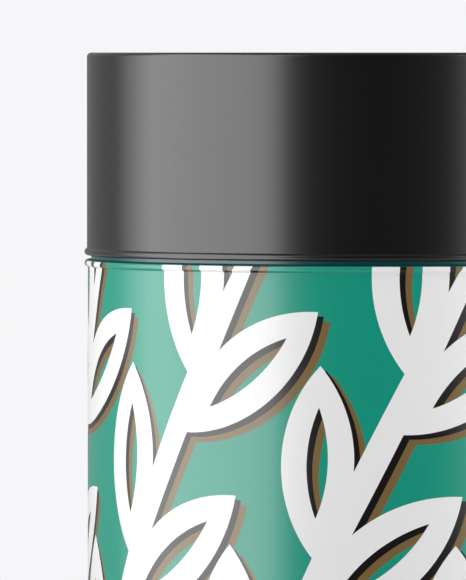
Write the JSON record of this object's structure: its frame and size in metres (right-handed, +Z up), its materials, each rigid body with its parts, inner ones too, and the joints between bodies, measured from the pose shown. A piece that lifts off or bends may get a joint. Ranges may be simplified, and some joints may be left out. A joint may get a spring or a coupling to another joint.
{
  "type": "candle tin",
  "caption": "Round printed tin with a slip-over lid, holding a poured container candle with cotton wicks.",
  "frame": {"origin": "middle of the base, on the plane that the tin stands on", "axes": "+Z up along the tin's axis, -Y towards the front of the print, +Y towards the weld"},
  "size_m": [0.1008, 0.1008, 0.127],
  "materials": {
    "lid_coating": "satin",
    "printed_wall": "satin",
    "tinplate": "satin",
    "lining_compound": "matte",
    "wax": "satin",
    "wick_cotton": "matte",
    "tab_steel": "satin",
    "sticker_foam": "matte"
  },
  "bodies": {
    "tin": {"body_shell": "printed_wall", "base_end": "tinplate", "seam_compound": "lining_compound", "wax_fill": "wax", "wick_1": "wick_cotton", "wick_tab_1": "tab_steel", "wick_sticker_1": "sticker_foam", "wick_2": "wick_cotton", "wick_tab_2": "tab_steel", "wick_sticker_2": "sticker_foam", "wick_3": "wick_cotton", "wick_tab_3": "tab_steel", "wick_sticker_3": "sticker_foam"},
    "lid": {"lid_shell": "lid_coating"}
  },
  "joints": [
    {"name": "lid_lift", "type": "slide", "parent": "tin", "child": "lid", "axis": [0, 0, 1], "range_m": [0, 0.1]}
  ]
}
